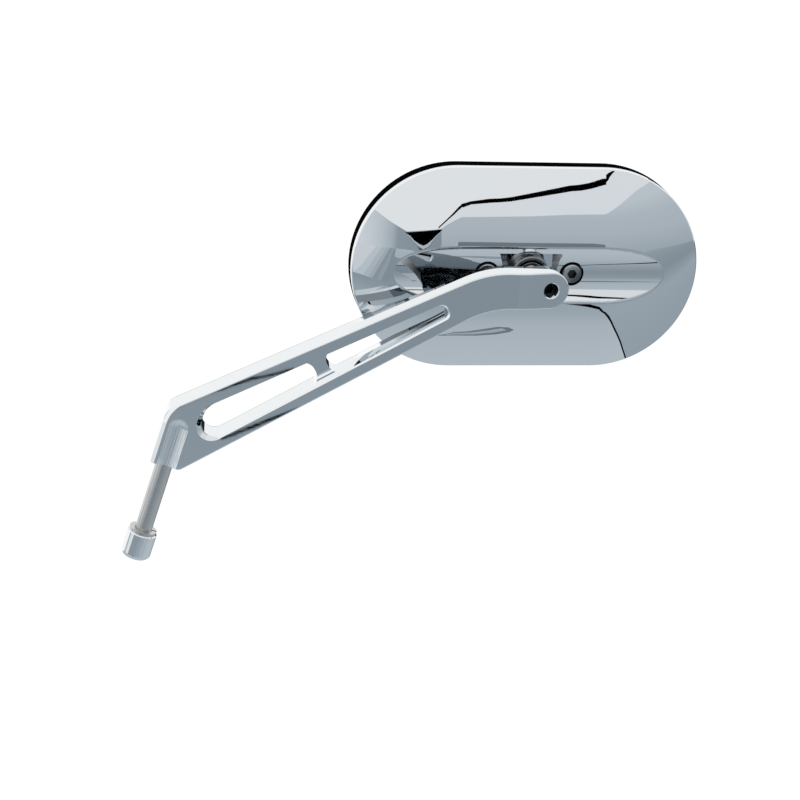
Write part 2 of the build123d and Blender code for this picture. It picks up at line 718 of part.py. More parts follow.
os.makedirs("parts", exist_ok=True)
export_step(arm.part, "parts/arm.step")
export_step(mounting_stud.part, "parts/mounting_stud.step")
export_step(stud_nut.part, "parts/stud_nut.step")
export_step(lock_washer.part, "parts/lock_washer.step")
export_step(ball_stud.part, "parts/ball_stud.step")
export_step(socket_liner_front.part, "parts/socket_liner_front.step")
export_step(socket_liner_rear.part, "parts/socket_liner_rear.step")
export_step(socket_collar.part, "parts/socket_collar.step")
export_step(clamp_plate.part, "parts/clamp_plate.step")
export_step(clamp_screw_left.part, "parts/clamp_screw_left.step")
export_step(clamp_screw_right.part, "parts/clamp_screw_right.step")
export_step(screw_washer_left.part, "parts/screw_washer_left.step")
export_step(screw_washer_right.part, "parts/screw_washer_right.step")
export_step(head_shell.part, "parts/head_shell.step")
export_step(mirror_glass.part, "parts/mirror_glass.step")
export_step(glass_pad.part, "parts/glass_pad.step")
export_step(glass_gasket.part, "parts/glass_gasket.step")
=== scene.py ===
import json
from math import atan2, cos, pi, radians, sin, tan

import bpy
from mathutils import Matrix, Vector

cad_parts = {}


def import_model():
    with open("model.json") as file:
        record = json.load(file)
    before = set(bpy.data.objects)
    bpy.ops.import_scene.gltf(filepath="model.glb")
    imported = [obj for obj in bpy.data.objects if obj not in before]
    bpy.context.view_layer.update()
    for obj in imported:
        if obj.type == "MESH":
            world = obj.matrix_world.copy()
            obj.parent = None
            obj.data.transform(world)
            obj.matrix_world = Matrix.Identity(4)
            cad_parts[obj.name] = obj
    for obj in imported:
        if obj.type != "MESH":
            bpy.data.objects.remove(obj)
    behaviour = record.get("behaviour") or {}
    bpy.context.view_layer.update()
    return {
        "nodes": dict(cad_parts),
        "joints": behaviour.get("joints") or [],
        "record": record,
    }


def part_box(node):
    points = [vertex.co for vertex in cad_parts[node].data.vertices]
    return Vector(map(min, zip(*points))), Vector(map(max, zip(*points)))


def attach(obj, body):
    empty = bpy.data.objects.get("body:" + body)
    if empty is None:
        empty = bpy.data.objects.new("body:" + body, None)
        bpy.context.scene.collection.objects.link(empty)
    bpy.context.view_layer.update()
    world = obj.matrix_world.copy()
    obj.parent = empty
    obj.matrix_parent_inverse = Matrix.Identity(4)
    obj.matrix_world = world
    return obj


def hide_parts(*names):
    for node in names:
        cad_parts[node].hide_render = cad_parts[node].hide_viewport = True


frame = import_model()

# Finishes, studio and camera for a motorcycle handlebar mirror: a slotted chrome arm with an oval head.
# Metres, in the part's own frame: +X outboard, +Y towards the rider, +Z up.

nodes = frame["nodes"]
joints = {joint["name"]: joint for joint in frame["joints"]}
mounts = {mount["name"]: mount for mount in frame["record"]["mounts"]}

# Places that the frame gives; the arm is a flat bar, as thick behind its middle as in front of it
ball_centre = Vector(joints["head_yaw"]["pos_m"])
stud_down = Vector(mounts["stud"]["axis"]).normalized()
leg_lean = atan2(-stud_down.x, -stud_down.z)
shank_radius = mounts["stud"]["dims"]["r_mm"] / 1000
shank_length = mounts["stud"]["dims"]["length_mm"] / 1000
arm_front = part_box("arm")[0][1]
arm_rear = -arm_front

# Camera: it looks down on the arm's front, and the part's origin shows at one pixel of the picture
image_pixels = 800
field_of_view = radians(20.0)
camera_elevation = radians(20.0)
camera_azimuth = radians(5.0)
camera_roll = radians(3.3)
camera_near = 0.01
metres_per_pixel = 0.00046
origin_pixel = (165.0, 461.0)

# Floor: its own glow, from near the part to far off, and the greys that catch light and shadow
floor_level = -0.25
floor_size = 40.0
floor_glow = (0.86, 0.94)
glow_reach = (0.6, 1.6)
floor_paper = 0.8
floor_shade = 0.2

# Light on matt surfaces: an even one from all round, and soft boxes as name, place, size and power
even_light = (0.95, 0.98, 1.0)
even_strength = 0.55
lamp_aim = Vector((0.12, 0.0, 0.06))
soft_boxes = [
    ("key_box", Vector((-0.7, -1.1, 1.5)), 1.2, 16.0),
    ("fill_box", Vector((1.2, -0.4, 1.1)), 1.0, 8.0),
]
glossy_bounces = 8

# Mounting stud's threads
thread_pitch = 0.00125
thread_radius = 0.0036
thread_depth = 0.0004
thread_chamfer = 0.0008
upper_thread = 0.014
lower_thread = 0.0115
thread_sides = 48
rows_per_turn = 10
thread_crease = radians(40.0)

# Flute in the leg's front, in the leg's own frame: the depths it lies between, and the cutter's marks
flute_shift = 0.0006
flute_half_width = 0.0046
flute_top = 0.0242
flute_depths = (0.00006, 0.0024)
cut_stretch = (1500.0, 0.0, 8.0)
cut_depth = 0.0004

# Arm: how far a face turns up or back to count as top or back, and the width of the painted dark line, a
# painted reflection, on the top's rear edge
facing_limit = 0.7
back_roughness = 0.05
edge_line = 0.0004

# The arm's top is crowned where it comes near the head: the crown's place across the arm, its slopes to the
# front and to the rear, and where along the arm it rises
crown_line = 0.0018
crown_front = 0.55
crown_rear = 0.3
crown_rise = (0.080, 0.094)

# Behind the crown the top is painted dark, a painted reflection, between two stretches of the arm where
# that fades in and out; the painted shade on the arm's back changes over the first stretch
shade_fade_in = (0.100, 0.116)
shade_fade_out = (0.135, 0.150)

# Clamp screws, from the ball's centre, and the distances from a screw's axis at which its painted shade and
# highlight change
head_yaw = radians(5.0)
screw_offset = 0.020
screw_level = 0.0022
socket_reach = 0.00235
socket_sink = 0.00005
screw_crown = 0.0042
rim_fade = (0.0041, 0.0045)
ring_scale = 900.0

# Collar and ball stud, from the ball's centre; the collar's painted highlight and painted shade ring end at
# the first two reaches
lip_reach = 0.0062
groove_reach = 0.0074
collar_fade = 0.0001
tab_yaw = radians(14.0)
shank_start = 0.0174
oxide_roughness = 0.45

# Colours of the finishes; a pair holds the two that a finish varies between
chrome_tones = ((0.83, 0.86, 0.878), (0.85, 0.872, 0.885))
# Painted shade on the arm's back, a little lighter near the head
arm_back_shade = ((0.22, 0.25, 0.275), (0.31, 0.33, 0.35))
# Painted dark reflection in a thin line along the arm top's rear edge
edge_shade_tone = (0.22, 0.23, 0.24)
# Painted dark reflection in a strip on the arm's top behind the crown
top_shade_tone = (0.045, 0.046, 0.048)
# Screw crown: painted highlight at its upper left, painted shade towards its lower right
screw_lit_tones = ((0.58, 0.60, 0.60), (0.66, 0.68, 0.68))
screw_shaded_tone = (0.16, 0.165, 0.17)
# Painted shade in the screw's socket
socket_shade_tone = (0.05, 0.051, 0.053)
# Painted shade on the screw's rim
rim_shade_tone = (0.012, 0.012, 0.013)
oxide_tones = ((0.010, 0.010, 0.011), (0.028, 0.029, 0.031))
collar_tones = ((0.20, 0.205, 0.21), (0.28, 0.285, 0.29))
# Painted shade in the collar's dark ring outside its lip
ring_shade_tone = (0.010, 0.010, 0.011)
# Painted highlight on the collar's lip
lip_highlight_tone = (0.90, 0.91, 0.92)
zinc_tones = ((0.55, 0.56, 0.56), (0.63, 0.62, 0.60))
clamp_tones = ((0.16, 0.16, 0.1648), (0.26, 0.26, 0.2678))
rubber_tones = ((0.0015, 0.0015, 0.0016), (0.003, 0.003, 0.0032))
liner_tones = ((0.010, 0.010, 0.011), (0.022, 0.022, 0.023))
silver_tones = ((0.80, 0.84, 0.845), (0.83, 0.86, 0.86))
metal = {"Metallic": 1.0}

# Wipe marks in the gloss of the chrome and of the glass, as noise drawn out along each axis
wipe_stretch = (180.0, 180.0, 1400.0)
film_stretch = (60.0, 60.0, 220.0)

# The Mix node's sockets for two colours and their mix
mix_first, mix_second, mix_result = 6, 7, 2

# What the chrome mirrors is cards. Their tones are brightnesses, or brightnesses at places along an axis.
# They go from a cool cast, in red and blue, at the dark level to a nearly neutral one at the pale level
cast_levels = (0.3, 0.87)
cool_cast = (0.845, 1.13)
pale_cast = (0.99, 1.013)
black = 0.0
dark = 0.2
pale = 0.86
panel_tone = 0.785
shade_tone = 0.02
sweep_tones = ("Y", [
    (-6.0, 0.50), (-2.42, 0.48), (-2.38, 0.31), (-0.95, 0.30), (-0.6, 0.34), (-0.34, 0.44), (-0.25, 0.50),
    (0.0, 0.56), (0.3, 0.50),
])
side_tones = ("Y", [(-6.0, 0.46), (-0.75, 0.31), (-0.5, 0.36), (-0.37, 0.41), (0.0, 0.38), (0.3, 0.38)])
left_tones = ("X", [(-4.2, 0.78), (-3.4, 0.70), (-2.6, 0.58), (-2.05, 0.46), (-1.75, 0.34), (0.6, 0.30)])
wall_tones = ("Z", [(-0.25, 0.43), (0.8, 0.50), (1.6, 0.52), (2.4, 0.60), (3.0, 0.62)])

# Lying cards are stacked above the floor, with the marks over the sweep
sweep_height = 0.004
strip_height = 0.005
seam_height = 0.006
mark_height = 0.007
inner_height = 0.0075

# The sweep's left, right, front and back ends, and the shade that lies behind it
sweep_ends = (-6.0, 6.0, -6.0, 0.3)
shade_left = 0.05
shade_back = 6.0

# The dark seam where the sweep's two halves meet: pairs of its edges, from far to near
sweep_seam = [
    ((0.352, -0.443), (0.346, -0.421)), ((0.357, -0.438), (0.350, -0.415)),
    ((0.363, -0.428), (0.357, -0.406)), ((0.370, -0.414), (0.364, -0.395)),
    ((0.373, -0.396), (0.368, -0.380)), ((0.381, -0.378), (0.372, -0.365)),
    ((0.396, -0.344), (0.384, -0.336)), ((0.402, -0.306), (0.389, -0.303)),
    ((0.401, -0.259), (0.392, -0.258)), ((0.398, -0.207), (0.390, -0.205)),
    ((0.396, -0.158), (0.389, -0.158)), ((0.393, -0.110), (0.387, -0.110)),
    ((0.387, -0.060), (0.382, -0.060)), ((0.384, -0.017), (0.379, -0.017)),
    ((0.384, 0.300), (0.379, 0.300)),
]

# A fan of pale strips on the left of the sweep: near and far ends in X, each line at its Y, and levels
fan_near = (-0.70, [-0.205, -0.267, -0.31, -0.357, -0.40, -0.46, -0.55, -3.0])
fan_far = (-5.4, [-1.75, -1.85, -1.95, -2.1, -2.3, -2.6, -3.0, -8.0])
fan_levels = [0.30, 0.37, 0.33, 0.44, 0.50, 0.58, 0.68]

# A pale card and a dark patch at the left of the sweep, as pairs of their edges
pale_side = [((-8.0, -1.9), (-2.8, -1.9)), ((-8.0, -0.6), (-0.9, -0.4)), ((-8.0, -0.1), (-0.9, -0.1))]
dark_patch = [
    ((-0.300, -0.390), (-0.262, -0.420)), ((-0.215, -0.333), (-0.180, -0.362)),
    ((-0.143, -0.270), (-0.112, -0.292)),
]

# Two thin dark streaks on the sweep, mirrored in the arm's front
streaks = [
    [(-0.0076, -0.740), (0.0031, -0.757), (0.0156, -0.772), (0.0283, -0.784), (0.0368, -0.795),
     (0.0513, -0.809), (0.0659, -0.820), (0.0807, -0.832), (0.0882, -0.838)],
    [(0.0276, -0.673), (0.0343, -0.679), (0.0451, -0.693), (0.0562, -0.705), (0.0645, -0.715),
     (0.0758, -0.728), (0.0902, -0.745)],
]
streak_half_width = 0.0038

# An eye-shaped mark on the sweep: its places in X with its far and near edges in Y, and its paler middle
eye = [
    (0.162, -0.199, -0.197), (0.197, -0.205, -0.195), (0.215, -0.209, -0.192), (0.235, -0.216, -0.189),
    (0.250, -0.232, -0.196), (0.262, -0.245, -0.210), (0.268, -0.240, -0.225),
]
eye_border = 0.3
eye_middle = 0.42

# Standing cards: distances from the head, and elevations of the feet
wall_distance = 6.0
band_distance = 5.8
panel_distance = 6.9
line_distance = 5.6
wedge_distance = 5.5
ceiling_distance = 7.6
wall_base = -8.0
band_base = 0.4
panel_base = 8.5

# Tops of the grey walls, of the dark band at their foot and of the pale panel, as azimuths and elevations
right_top = [
    (4.9, 9.3), (7.9, 11.4), (16.1, 15.4), (18.2, 16.1), (19.6, 17.2), (20.5, 17.4), (29.9, 21.9),
    (35.8, 24.9), (42.0, 27.4), (46.2, 28.4), (54.2, 28.3), (70.0, 27.0), (85.0, 26.0),
]
left_top = [(-60.0, 24.0), (-46.5, 20.0), (-34.2, 16.1), (-24.3, 11.2), (-14.2, 6.6), (4.9, 9.0)]
band_top = [
    (14.2, 1.6), (14.5, 2.85), (16.0, 2.84), (16.8, 2.80), (17.7, 2.70), (19.6, 2.66), (22.0, 0.6),
]
panel_top = [
    (2.6, 9.2), (13.3, 18.9), (16.5, 21.6), (17.6, 24.2), (19.2, 26.9), (22.7, 33.8), (23.4, 35.4),
    (26.5, 37.6), (30.5, 38.4), (45.0, 50.0), (60.0, 60.0), (85.0, 70.0),
]
ceiling_azimuths = [-60.0, -40.0, -20.0, 0.0, 20.0, 40.0, 60.0, 75.0, 90.0]
ceiling_elevations = [0.0, 20.0, 40.0, 60.0, 78.0]

# The dark line's lower and upper edges
line_foot = [
    (3.10, 9.3), (9.86, 15.3), (12.22, 17.1), (16.41, 20.7), (16.79, 22.3), (17.53, 23.3), (17.88, 23.6),
    (18.27, 24.1), (21.02, 29.7), (21.43, 30.1), (21.98, 31.2), (22.82, 33.2), (24.18, 34.6), (26.38, 36.9),
    (28.66, 37.7), (31.00, 38.2),
]
line_head = [
    (3.10, 10.2), (9.86, 16.4), (12.25, 18.6), (16.52, 22.6), (16.91, 24.0), (17.71, 25.5), (18.06, 25.7),
    (18.46, 26.3), (21.48, 32.8), (21.93, 33.3), (22.50, 34.3), (23.51, 36.6), (25.10, 37.8), (26.90, 38.3),
    (28.80, 38.5), (31.00, 38.8),
]

# The dark wedge's lower edge, and its straight top: the level straight ahead and the rise with the azimuth
wedge_foot = [
    (-15.4, 6.0), (-12.4, 4.5), (-9.8, 1.9), (-7.1, 0.3), (-5.1, -0.2), (-2.8, 0.8), (-0.2, 2.9),
    (1.9, 5.3), (5.1, 8.3),
]
wedge_level = 8.2
wedge_rise = 0.137

# Rims below the wedge, as name, drop, distance and brightness.
# The drop is whole at the tip, and would be gone at the reach to both sides
wedge_tip = -5.1
wedge_reach = 12.0
wedge_rims = [("wedge_outline", 2.3, 5.58, 0.1), ("wedge_border", 1.8, 5.55, 0.5)]


class Shader:
    """A new material's node tree, with short calls to add nodes, join them and set sockets."""

    def __init__(self, name):
        self.material = bpy.data.materials.new(name)
        self.material.use_nodes = True
        self.tree = self.material.node_tree
        self.surface = self.tree.nodes["Principled BSDF"]

    def add(self, kind, **settings):
        node = self.tree.nodes.new("ShaderNode" + kind)
        for name, value in settings.items():
            setattr(node, name, value)
        return node

    def join(self, output, target):
        self.tree.links.new(output, target)

    def place(self, location=(0, 0, 0), turn=(0, 0, 0)):
        """Coordinates of the part's frame, seen from a frame with the given place and turn."""
        coordinates = self.add("TexCoord")
        mapping = self.add("Mapping", vector_type="TEXTURE")
        mapping.inputs["Location"].default_value = location
        mapping.inputs["Rotation"].default_value = turn
        self.join(coordinates.outputs["Object"], mapping.inputs["Vector"])
        return mapping.outputs["Vector"]

    def axes(self, vector):
        """The X, Y and Z outputs of a vector."""
        parts = self.add("SeparateXYZ")
        self.join(vector, parts.inputs["Vector"])
        return parts.outputs

    def noise(self, scale, detail=2.0, vector=None):
        """Noise about 0.5, in the part's frame or along other coordinates."""
        node = self.add("TexNoise")
        node.inputs["Scale"].default_value = scale
        node.inputs["Detail"].default_value = detail
        self.join(vector or self.place(), node.inputs["Vector"])
        return node.outputs["Fac"]

    def stretched(self, stretch, vector=None):
        """Coordinates, those of the part's frame if none are given, scaled differently along each axis."""
        mapping = self.add("Mapping")
        mapping.inputs["Scale"].default_value = stretch
        self.join(vector or self.place(), mapping.inputs["Vector"])
        return mapping.outputs["Vector"]

    def span(self, value, low, high, start=0.3, end=0.7):
        """A value mapped from start..end to low..high."""
        node = self.add("MapRange")
        self.join(value, node.inputs["Value"])
        node.inputs["From Min"].default_value = start
        node.inputs["From Max"].default_value = end
        node.inputs["To Min"].default_value = low
        node.inputs["To Max"].default_value = high
        return node.outputs["Result"]

    def math(self, operation, first, second=None):
        """An operation on two outputs or numbers, or on one."""
        node = self.add("Math", operation=operation)
        for socket, value in zip(node.inputs, (first, second)):
            if isinstance(value, (int, float)):
                socket.default_value = value
            elif value is not None:
                self.join(value, socket)
        return node.outputs["Value"]

    def both(self, *masks):
        """The product of several masks."""
        total = masks[0]
        for mask in masks[1:]:
            total = self.math("MULTIPLY", total, mask)
        return total

    def reach(self, first, second):
        """The distance from an axis, from two coordinates across it."""
        squares = [self.math("MULTIPLY", value, value) for value in (first, second)]
        return self.math("SQRT", self.math("ADD", *squares))

    def blend(self, factor, first, second):
        """Two colours, or two colour outputs, mixed by a factor."""
        node = self.add("Mix", data_type="RGBA")
        self.join(factor, node.inputs["Factor"])
        for number, value in ((mix_first, first), (mix_second, second)):
            if isinstance(value, tuple):
                node.inputs[number].default_value = (*value, 1.0)
            else:
                self.join(value, node.inputs[number])
        return node.outputs[mix_result]

    def ramp(self, value, stops):
        """A value from 0 to 1 as a colour, from stops of place and colour."""
        node = self.add("ValToRGB")
        self.join(value, node.inputs["Fac"])
        elements = node.color_ramp.elements
        while len(elements) < len(stops):
            elements.new(0.5)
        for element, (place, colour) in zip(elements, stops):
            element.position = place
            element.color = (*colour, 1.0)
        return node.outputs["Color"]

    def bump(self, height, depth, below=None):
        """Surface relief: a height from 0 to 1, times a depth in metres, over the relief below it."""
        node = self.add("Bump")
        node.inputs["Strength"].default_value = 1.0
        node.inputs["Distance"].default_value = depth
        self.join(height, node.inputs["Height"])
        if below is not None:
            self.join(below, node.inputs["Normal"])
        return node.outputs["Normal"]

    def finish(self, colour=None, roughness=None, normal=None, constants=None):
        """The material, with what varies joined to its surface and what is the same all over set on it."""
        for name, output in (("Base Color", colour), ("Roughness", roughness), ("Normal", normal)):
            if output is not None:
                self.join(output, self.surface.inputs[name])
        for name, value in (constants or {}).items():
            self.surface.inputs[name].default_value = value
        return self.material


def chrome_colour(shader):
    """Plated metal that turns a little bluer and duller in broad patches."""
    return shader.blend(shader.noise(scale=30.0), *chrome_tones)


def wipe_marks(shader):
    """Fine marks of wiping, drawn out across the part."""
    return shader.noise(scale=1.0, detail=3.0, vector=shader.stretched(wipe_stretch))


def polished_chrome(name, waviness, wave_scale, low, high):
    """Mirror plating: slow waves from the buffing wheel, and fine wipe marks in the gloss."""
    shader = Shader(name)
    waves = shader.noise(wave_scale, detail=1.0)
    return shader.finish(
        colour=chrome_colour(shader),
        roughness=shader.span(wipe_marks(shader), low, high),
        normal=shader.bump(waves, waviness),
        constants=metal,
    )


def flute_cuts(shader, leg):
    """The cutter's marks along the leg's flute."""
    x, y, z = shader.axes(leg)
    shallow, deep = flute_depths
    aside = shader.math("ABSOLUTE", shader.math("SUBTRACT", x, flute_shift))
    in_flute = shader.both(
        shader.math("LESS_THAN", aside, flute_half_width),
        shader.math("GREATER_THAN", y, arm_front + shallow),
        shader.math("LESS_THAN", y, arm_front + deep),
        shader.math("LESS_THAN", z, flute_top),
    )
    lines = shader.noise(scale=1.0, detail=2.0, vector=shader.stretched(cut_stretch, leg))
    return shader.math("MULTIPLY", in_flute, lines)


def arm_crown(shader, above, outboard, y):
    """The crown on the arm's top: a ridge that falls to the front and to the rear, in metres."""
    back = shader.math("SUBTRACT", y, crown_line)
    to_front = shader.math("MULTIPLY", back, crown_front)
    to_rear = shader.math("MULTIPLY", back, -crown_rear)
    ridge = shader.math("MINIMUM", to_front, to_rear)
    return shader.both(above, shader.span(outboard, 0.0, 1.0, *crown_rise), ridge)


def arm_colour(shader, above, behind, outboard, y):
    """Plating with painted shade behind, and a painted dark reflection along the top's rear edge and behind
    the crown.
    """
    near_head = shader.span(outboard, 0.0, 1.0, *shade_fade_in)
    before_tab = shader.span(outboard, 1.0, 0.0, *shade_fade_out)
    past_crown = shader.math("GREATER_THAN", y, crown_line)
    # Painted dark reflection: a thin line along the top's rear edge
    on_edge = shader.both(above, shader.math("GREATER_THAN", y, arm_rear - edge_line))
    # Painted shade: the arm's back is darker than its front
    back = shader.blend(near_head, *arm_back_shade)
    plating = shader.blend(behind, chrome_colour(shader), back)
    rear_edge_darkened = shader.blend(on_edge, plating, edge_shade_tone)
    # Painted dark reflection: a strip on the top behind the crown, near the head
    return shader.blend(shader.both(above, past_crown, near_head, before_tab), rear_edge_darkened, top_shade_tone)


def arm_chrome():
    """Polished arm: duller behind with painted shade, crowned and with a painted dark reflection on top
    near the head, cut marks in the flute.
    """
    shader = Shader("arm_chrome")
    leg = shader.place(turn=(0, leg_lean, 0))
    outboard, y, _ = shader.axes(shader.place())
    facing = shader.axes(shader.add("NewGeometry").outputs["Normal"])
    behind = shader.math("GREATER_THAN", facing["Y"], facing_limit)
    above = shader.math("GREATER_THAN", facing["Z"], facing_limit)
    gloss = shader.span(wipe_marks(shader), low=0.012, high=0.03)
    satin = shader.math("MULTIPLY", behind, back_roughness)
    waves = shader.bump(shader.noise(scale=60.0, detail=1.0), depth=0.00001)
    crown = shader.bump(arm_crown(shader, above, outboard, y), depth=1.0, below=waves)
    return shader.finish(
        colour=arm_colour(shader, above, behind, outboard, y),
        roughness=shader.math("MAXIMUM", gloss, satin),
        normal=shader.bump(flute_cuts(shader, leg), cut_depth, below=crown),
        constants=metal,
    )


def screw_steel():
    """Turned steel crown with a painted highlight at its upper left and painted shade to its lower right,
    and painted shade on its rim and in its socket.
    """
    shader = Shader("screw_steel")
    x, y, z = shader.axes(shader.place(ball_centre, (0, 0, head_yaw)))
    along = shader.math("SUBTRACT", shader.math("ABSOLUTE", x), screw_offset)
    reach = shader.reach(along, z)
    # Painted shade in the socket
    near = shader.math("LESS_THAN", reach, socket_reach)
    sunk = shader.math("GREATER_THAN", y, socket_sink - screw_level)
    # Painted shade on the rim
    rim = shader.span(reach, 0.0, 1.0, *rim_fade)
    # Painted highlight to the upper left of the crown, painted shade to its lower right
    upper_left = shader.math("SUBTRACT", z, along)
    painted_highlight = shader.span(upper_left, 0.0, 1.0, -screw_crown, screw_crown)
    grain = shader.noise(scale=1600.0, detail=3.0)
    outwards = shader.add("CombineXYZ")
    shader.join(shader.math("MULTIPLY", reach, ring_scale), outwards.inputs["X"])
    rings = shader.add("TexWave", wave_type="BANDS", bands_direction="X")
    rings.inputs["Scale"].default_value = 1.0
    shader.join(outwards.outputs["Vector"], rings.inputs["Vector"])
    steel = shader.blend(painted_highlight, screw_shaded_tone, shader.blend(grain, *screw_lit_tones))
    crown = shader.blend(shader.both(near, sunk), steel, socket_shade_tone)
    return shader.finish(
        colour=shader.blend(rim, crown, rim_shade_tone),
        roughness=shader.span(grain, low=0.12, high=0.24),
        normal=shader.bump(rings.outputs["Fac"], depth=0.000002),
        constants=metal,
    )


def ball_stud_metal():
    """Chromed ball and neck; the threaded shank in the tab is black oxide."""
    shader = Shader("ball_stud_metal")
    forward = shader.axes(shader.place(ball_centre, (0, 0, tab_yaw)))["Y"]
    in_tab = shader.math("LESS_THAN", forward, -shank_start)
    oxide = shader.blend(shader.noise(scale=1500.0, detail=3.0), *oxide_tones)
    gloss = shader.span(shader.noise(scale=900.0, detail=3.0), low=0.03, high=0.07)
    dull = shader.math("MULTIPLY", in_tab, oxide_roughness)
    return shader.finish(
        colour=shader.blend(in_tab, chrome_colour(shader), oxide),
        roughness=shader.math("MAXIMUM", gloss, dull),
        constants=metal,
    )


def collar_steel():
    """Dark turned collar: a painted highlight on the lip at the ball, then a painted dark ring of shade."""
    shader = Shader("collar_steel")
    across = shader.axes(shader.place(ball_centre, (0, 0, head_yaw)))
    reach = shader.reach(across["X"], across["Z"])
    # Painted shade in a ring outside the lip
    outside = shader.span(reach, 0.0, 1.0, groove_reach - collar_fade, groove_reach + collar_fade)
    # Painted highlight on the lip
    lip = shader.span(reach, 1.0, 0.0, lip_reach - collar_fade, lip_reach + collar_fade)
    steel = shader.blend(shader.noise(scale=260.0, detail=3.0), *collar_tones)
    groove = shader.blend(outside, ring_shade_tone, steel)
    return shader.finish(
        colour=shader.blend(lip, groove, lip_highlight_tone),
        roughness=shader.span(shader.noise(scale=1200.0, detail=3.0), low=0.26, high=0.36),
        constants=metal,
    )


def plated_steel():
    """Zinc-plated steel for the stud and the washer, slightly yellow where the plating is thin."""
    shader = Shader("plated_steel")
    grain = shader.noise(scale=1400.0, detail=4.0)
    return shader.finish(
        colour=shader.blend(shader.noise(scale=160.0, detail=3.0), *zinc_tones),
        roughness=shader.span(grain, low=0.18, high=0.28),
        normal=shader.bump(grain, depth=0.0000004),
        constants=metal,
    )


def clamp_steel():
    """Blackened steel, cloudy where the finish is thinner."""
    shader = Shader("clamp_steel")
    grain = shader.noise(scale=1200.0, detail=4.0)
    return shader.finish(
        colour=shader.blend(shader.noise(scale=260.0, detail=3.0), *clamp_tones),
        roughness=shader.span(grain, low=0.34, high=0.52),
        normal=shader.bump(grain, depth=0.0000006),
        constants=metal,
    )


def black_rubber():
    """Moulded rubber: a fine grain, a little dust in the broad patches."""
    shader = Shader("black_rubber")
    grain = shader.noise(scale=2600.0, detail=3.0)
    dust = shader.span(shader.noise(scale=90.0, detail=4.0), 0.0, 1.0)
    return shader.finish(
        colour=shader.blend(dust, *rubber_tones),
        roughness=shader.span(grain, low=0.55, high=0.80),
        normal=shader.bump(grain, depth=0.000012),
        constants={"Specular IOR Level": 0.0},
    )


def liner_plastic():
    """Black acetal of the ball's liners."""
    shader = Shader("liner_plastic")
    return shader.finish(
        colour=shader.blend(shader.noise(scale=300.0, detail=3.0), *liner_tones),
        roughness=shader.span(shader.noise(scale=1800.0), low=0.30, high=0.42),
        constants={"Specular IOR Level": 0.35},
    )


def silvered_glass():
    """Flat mirror: silver under clear glass, with a faint film of wiped dust in the gloss."""
    shader = Shader("silvered_glass")
    film = shader.noise(scale=1.0, detail=4.0, vector=shader.stretched(film_stretch))
    return shader.finish(
        colour=shader.blend(film, *silver_tones),
        roughness=shader.span(film, low=0.008, high=0.03),
        constants={**metal, "Coat Weight": 0.6, "Coat Roughness": 0.01},
    )


def dress():
    """Gives every CAD node its finish."""
    steel = screw_steel()
    plated = plated_steel()
    rubber = black_rubber()
    liner = liner_plastic()
    head = polished_chrome("head_chrome", waviness=0.000003, wave_scale=24.0, low=0.006, high=0.016)
    nut = polished_chrome("nut_chrome", waviness=0.000002, wave_scale=150.0, low=0.03, high=0.07)
    finishes = {
        "arm": arm_chrome(),
        "head_shell": head,
        "stud_nut": nut,
        "socket_collar": collar_steel(),
        "ball_stud": ball_stud_metal(),
        "mounting_stud": plated,
        "lock_washer": plated,
        "clamp_plate": clamp_steel(),
        "clamp_screw_left": steel,
        "clamp_screw_right": steel,
        "screw_washer_left": rubber,
        "screw_washer_right": rubber,
        "glass_gasket": rubber,
        "glass_pad": rubber,
        "socket_liner_front": liner,
        "socket_liner_rear": liner,
        "mirror_glass": silvered_glass(),
    }
    for name, material in finishes.items():
        slots = nodes[name].data.materials
        slots.clear()
        slots.append(material)
    return finishes


def new_mesh(name, vertices, faces):
    mesh = bpy.data.meshes.new(name)
    mesh.from_pydata(vertices, [], faces)
    mesh.update()
    piece = bpy.data.objects.new(name, mesh)
    bpy.context.scene.collection.objects.link(piece)
    return piece


def thread_rows(top, bottom, chamfer_end):
    """Rows of levels and radii round a thread, from its top to its bottom, chamfered at one end."""
    count = round((top - bottom) / thread_pitch * rows_per_turn)
    rows = []
    for step in range(count + 1):
        level = top + (bottom - top) * step / count
        limit = thread_radius - thread_chamfer + abs(level - chamfer_end)
        row = []
        for side in range(thread_sides):
            phase = (level / thread_pitch + side / thread_sides) % 1.0
            groove = thread_depth * (1 - abs(2 * phase - 1))
            row.append((level, min(thread_radius - groove, limit)))
        rows.append(row)
    return rows


def threaded_stud(material):
    """The mounting stud with its two threads and the plain shank between them."""
    bottom_end = -shank_length - lower_thread
    rows = thread_rows(upper_thread, 0.0, upper_thread)
    rows += [[(level, shank_radius)] * thread_sides for level in (0.0, -shank_length)]
    rows += thread_rows(-shank_length, bottom_end, bottom_end)
    across = Vector((0, 1, 0))
    aside = stud_down.cross(across)
    vertices = []
    for row in rows:
        for side, (level, radius) in enumerate(row):
            angle = 2 * pi * side / thread_sides
            vertices.append(across * radius * cos(angle) + aside * radius * sin(angle) - stud_down * level)
    faces = [tuple(range(thread_sides))]
    for row in range(len(rows) - 1):
        here, below = row * thread_sides, (row + 1) * thread_sides
        for side in range(thread_sides):
            after = (side + 1) % thread_sides
            faces.append((here + side, below + side, below + after, here + after))
    last = (len(rows) - 1) * thread_sides
    faces.append(tuple(last + side for side in reversed(range(thread_sides))))
    piece = new_mesh("threaded_stud", vertices, faces)
    piece.data.polygons.foreach_set("use_smooth", [True] * len(faces))
    piece.data.set_sharp_from_angle(angle=thread_crease)
    piece.data.materials.append(material)
    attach(piece, "arm")
    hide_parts("mounting_stud")


def grey(level):
    """A grey of the given brightness, cooler where it is darker."""
    low, high = cast_levels
    light = min(max((level - low) / (high - low), 0.0), 1.0)
    red, blue = (cool + (neutral - cool) * light for cool, neutral in zip(cool_cast, pale_cast))
    return (level * red, level, level * blue)


def towards(azimuth, elevation, distance):
    """A point seen from the head: azimuth from the front to the right and elevation, in degrees."""
    around, above = radians(azimuth), radians(elevation)
    way = Vector((sin(around) * cos(above), -cos(around) * cos(above), sin(above)))
    return Vector((ball_centre.x, 0, ball_centre.z)) + way * distance


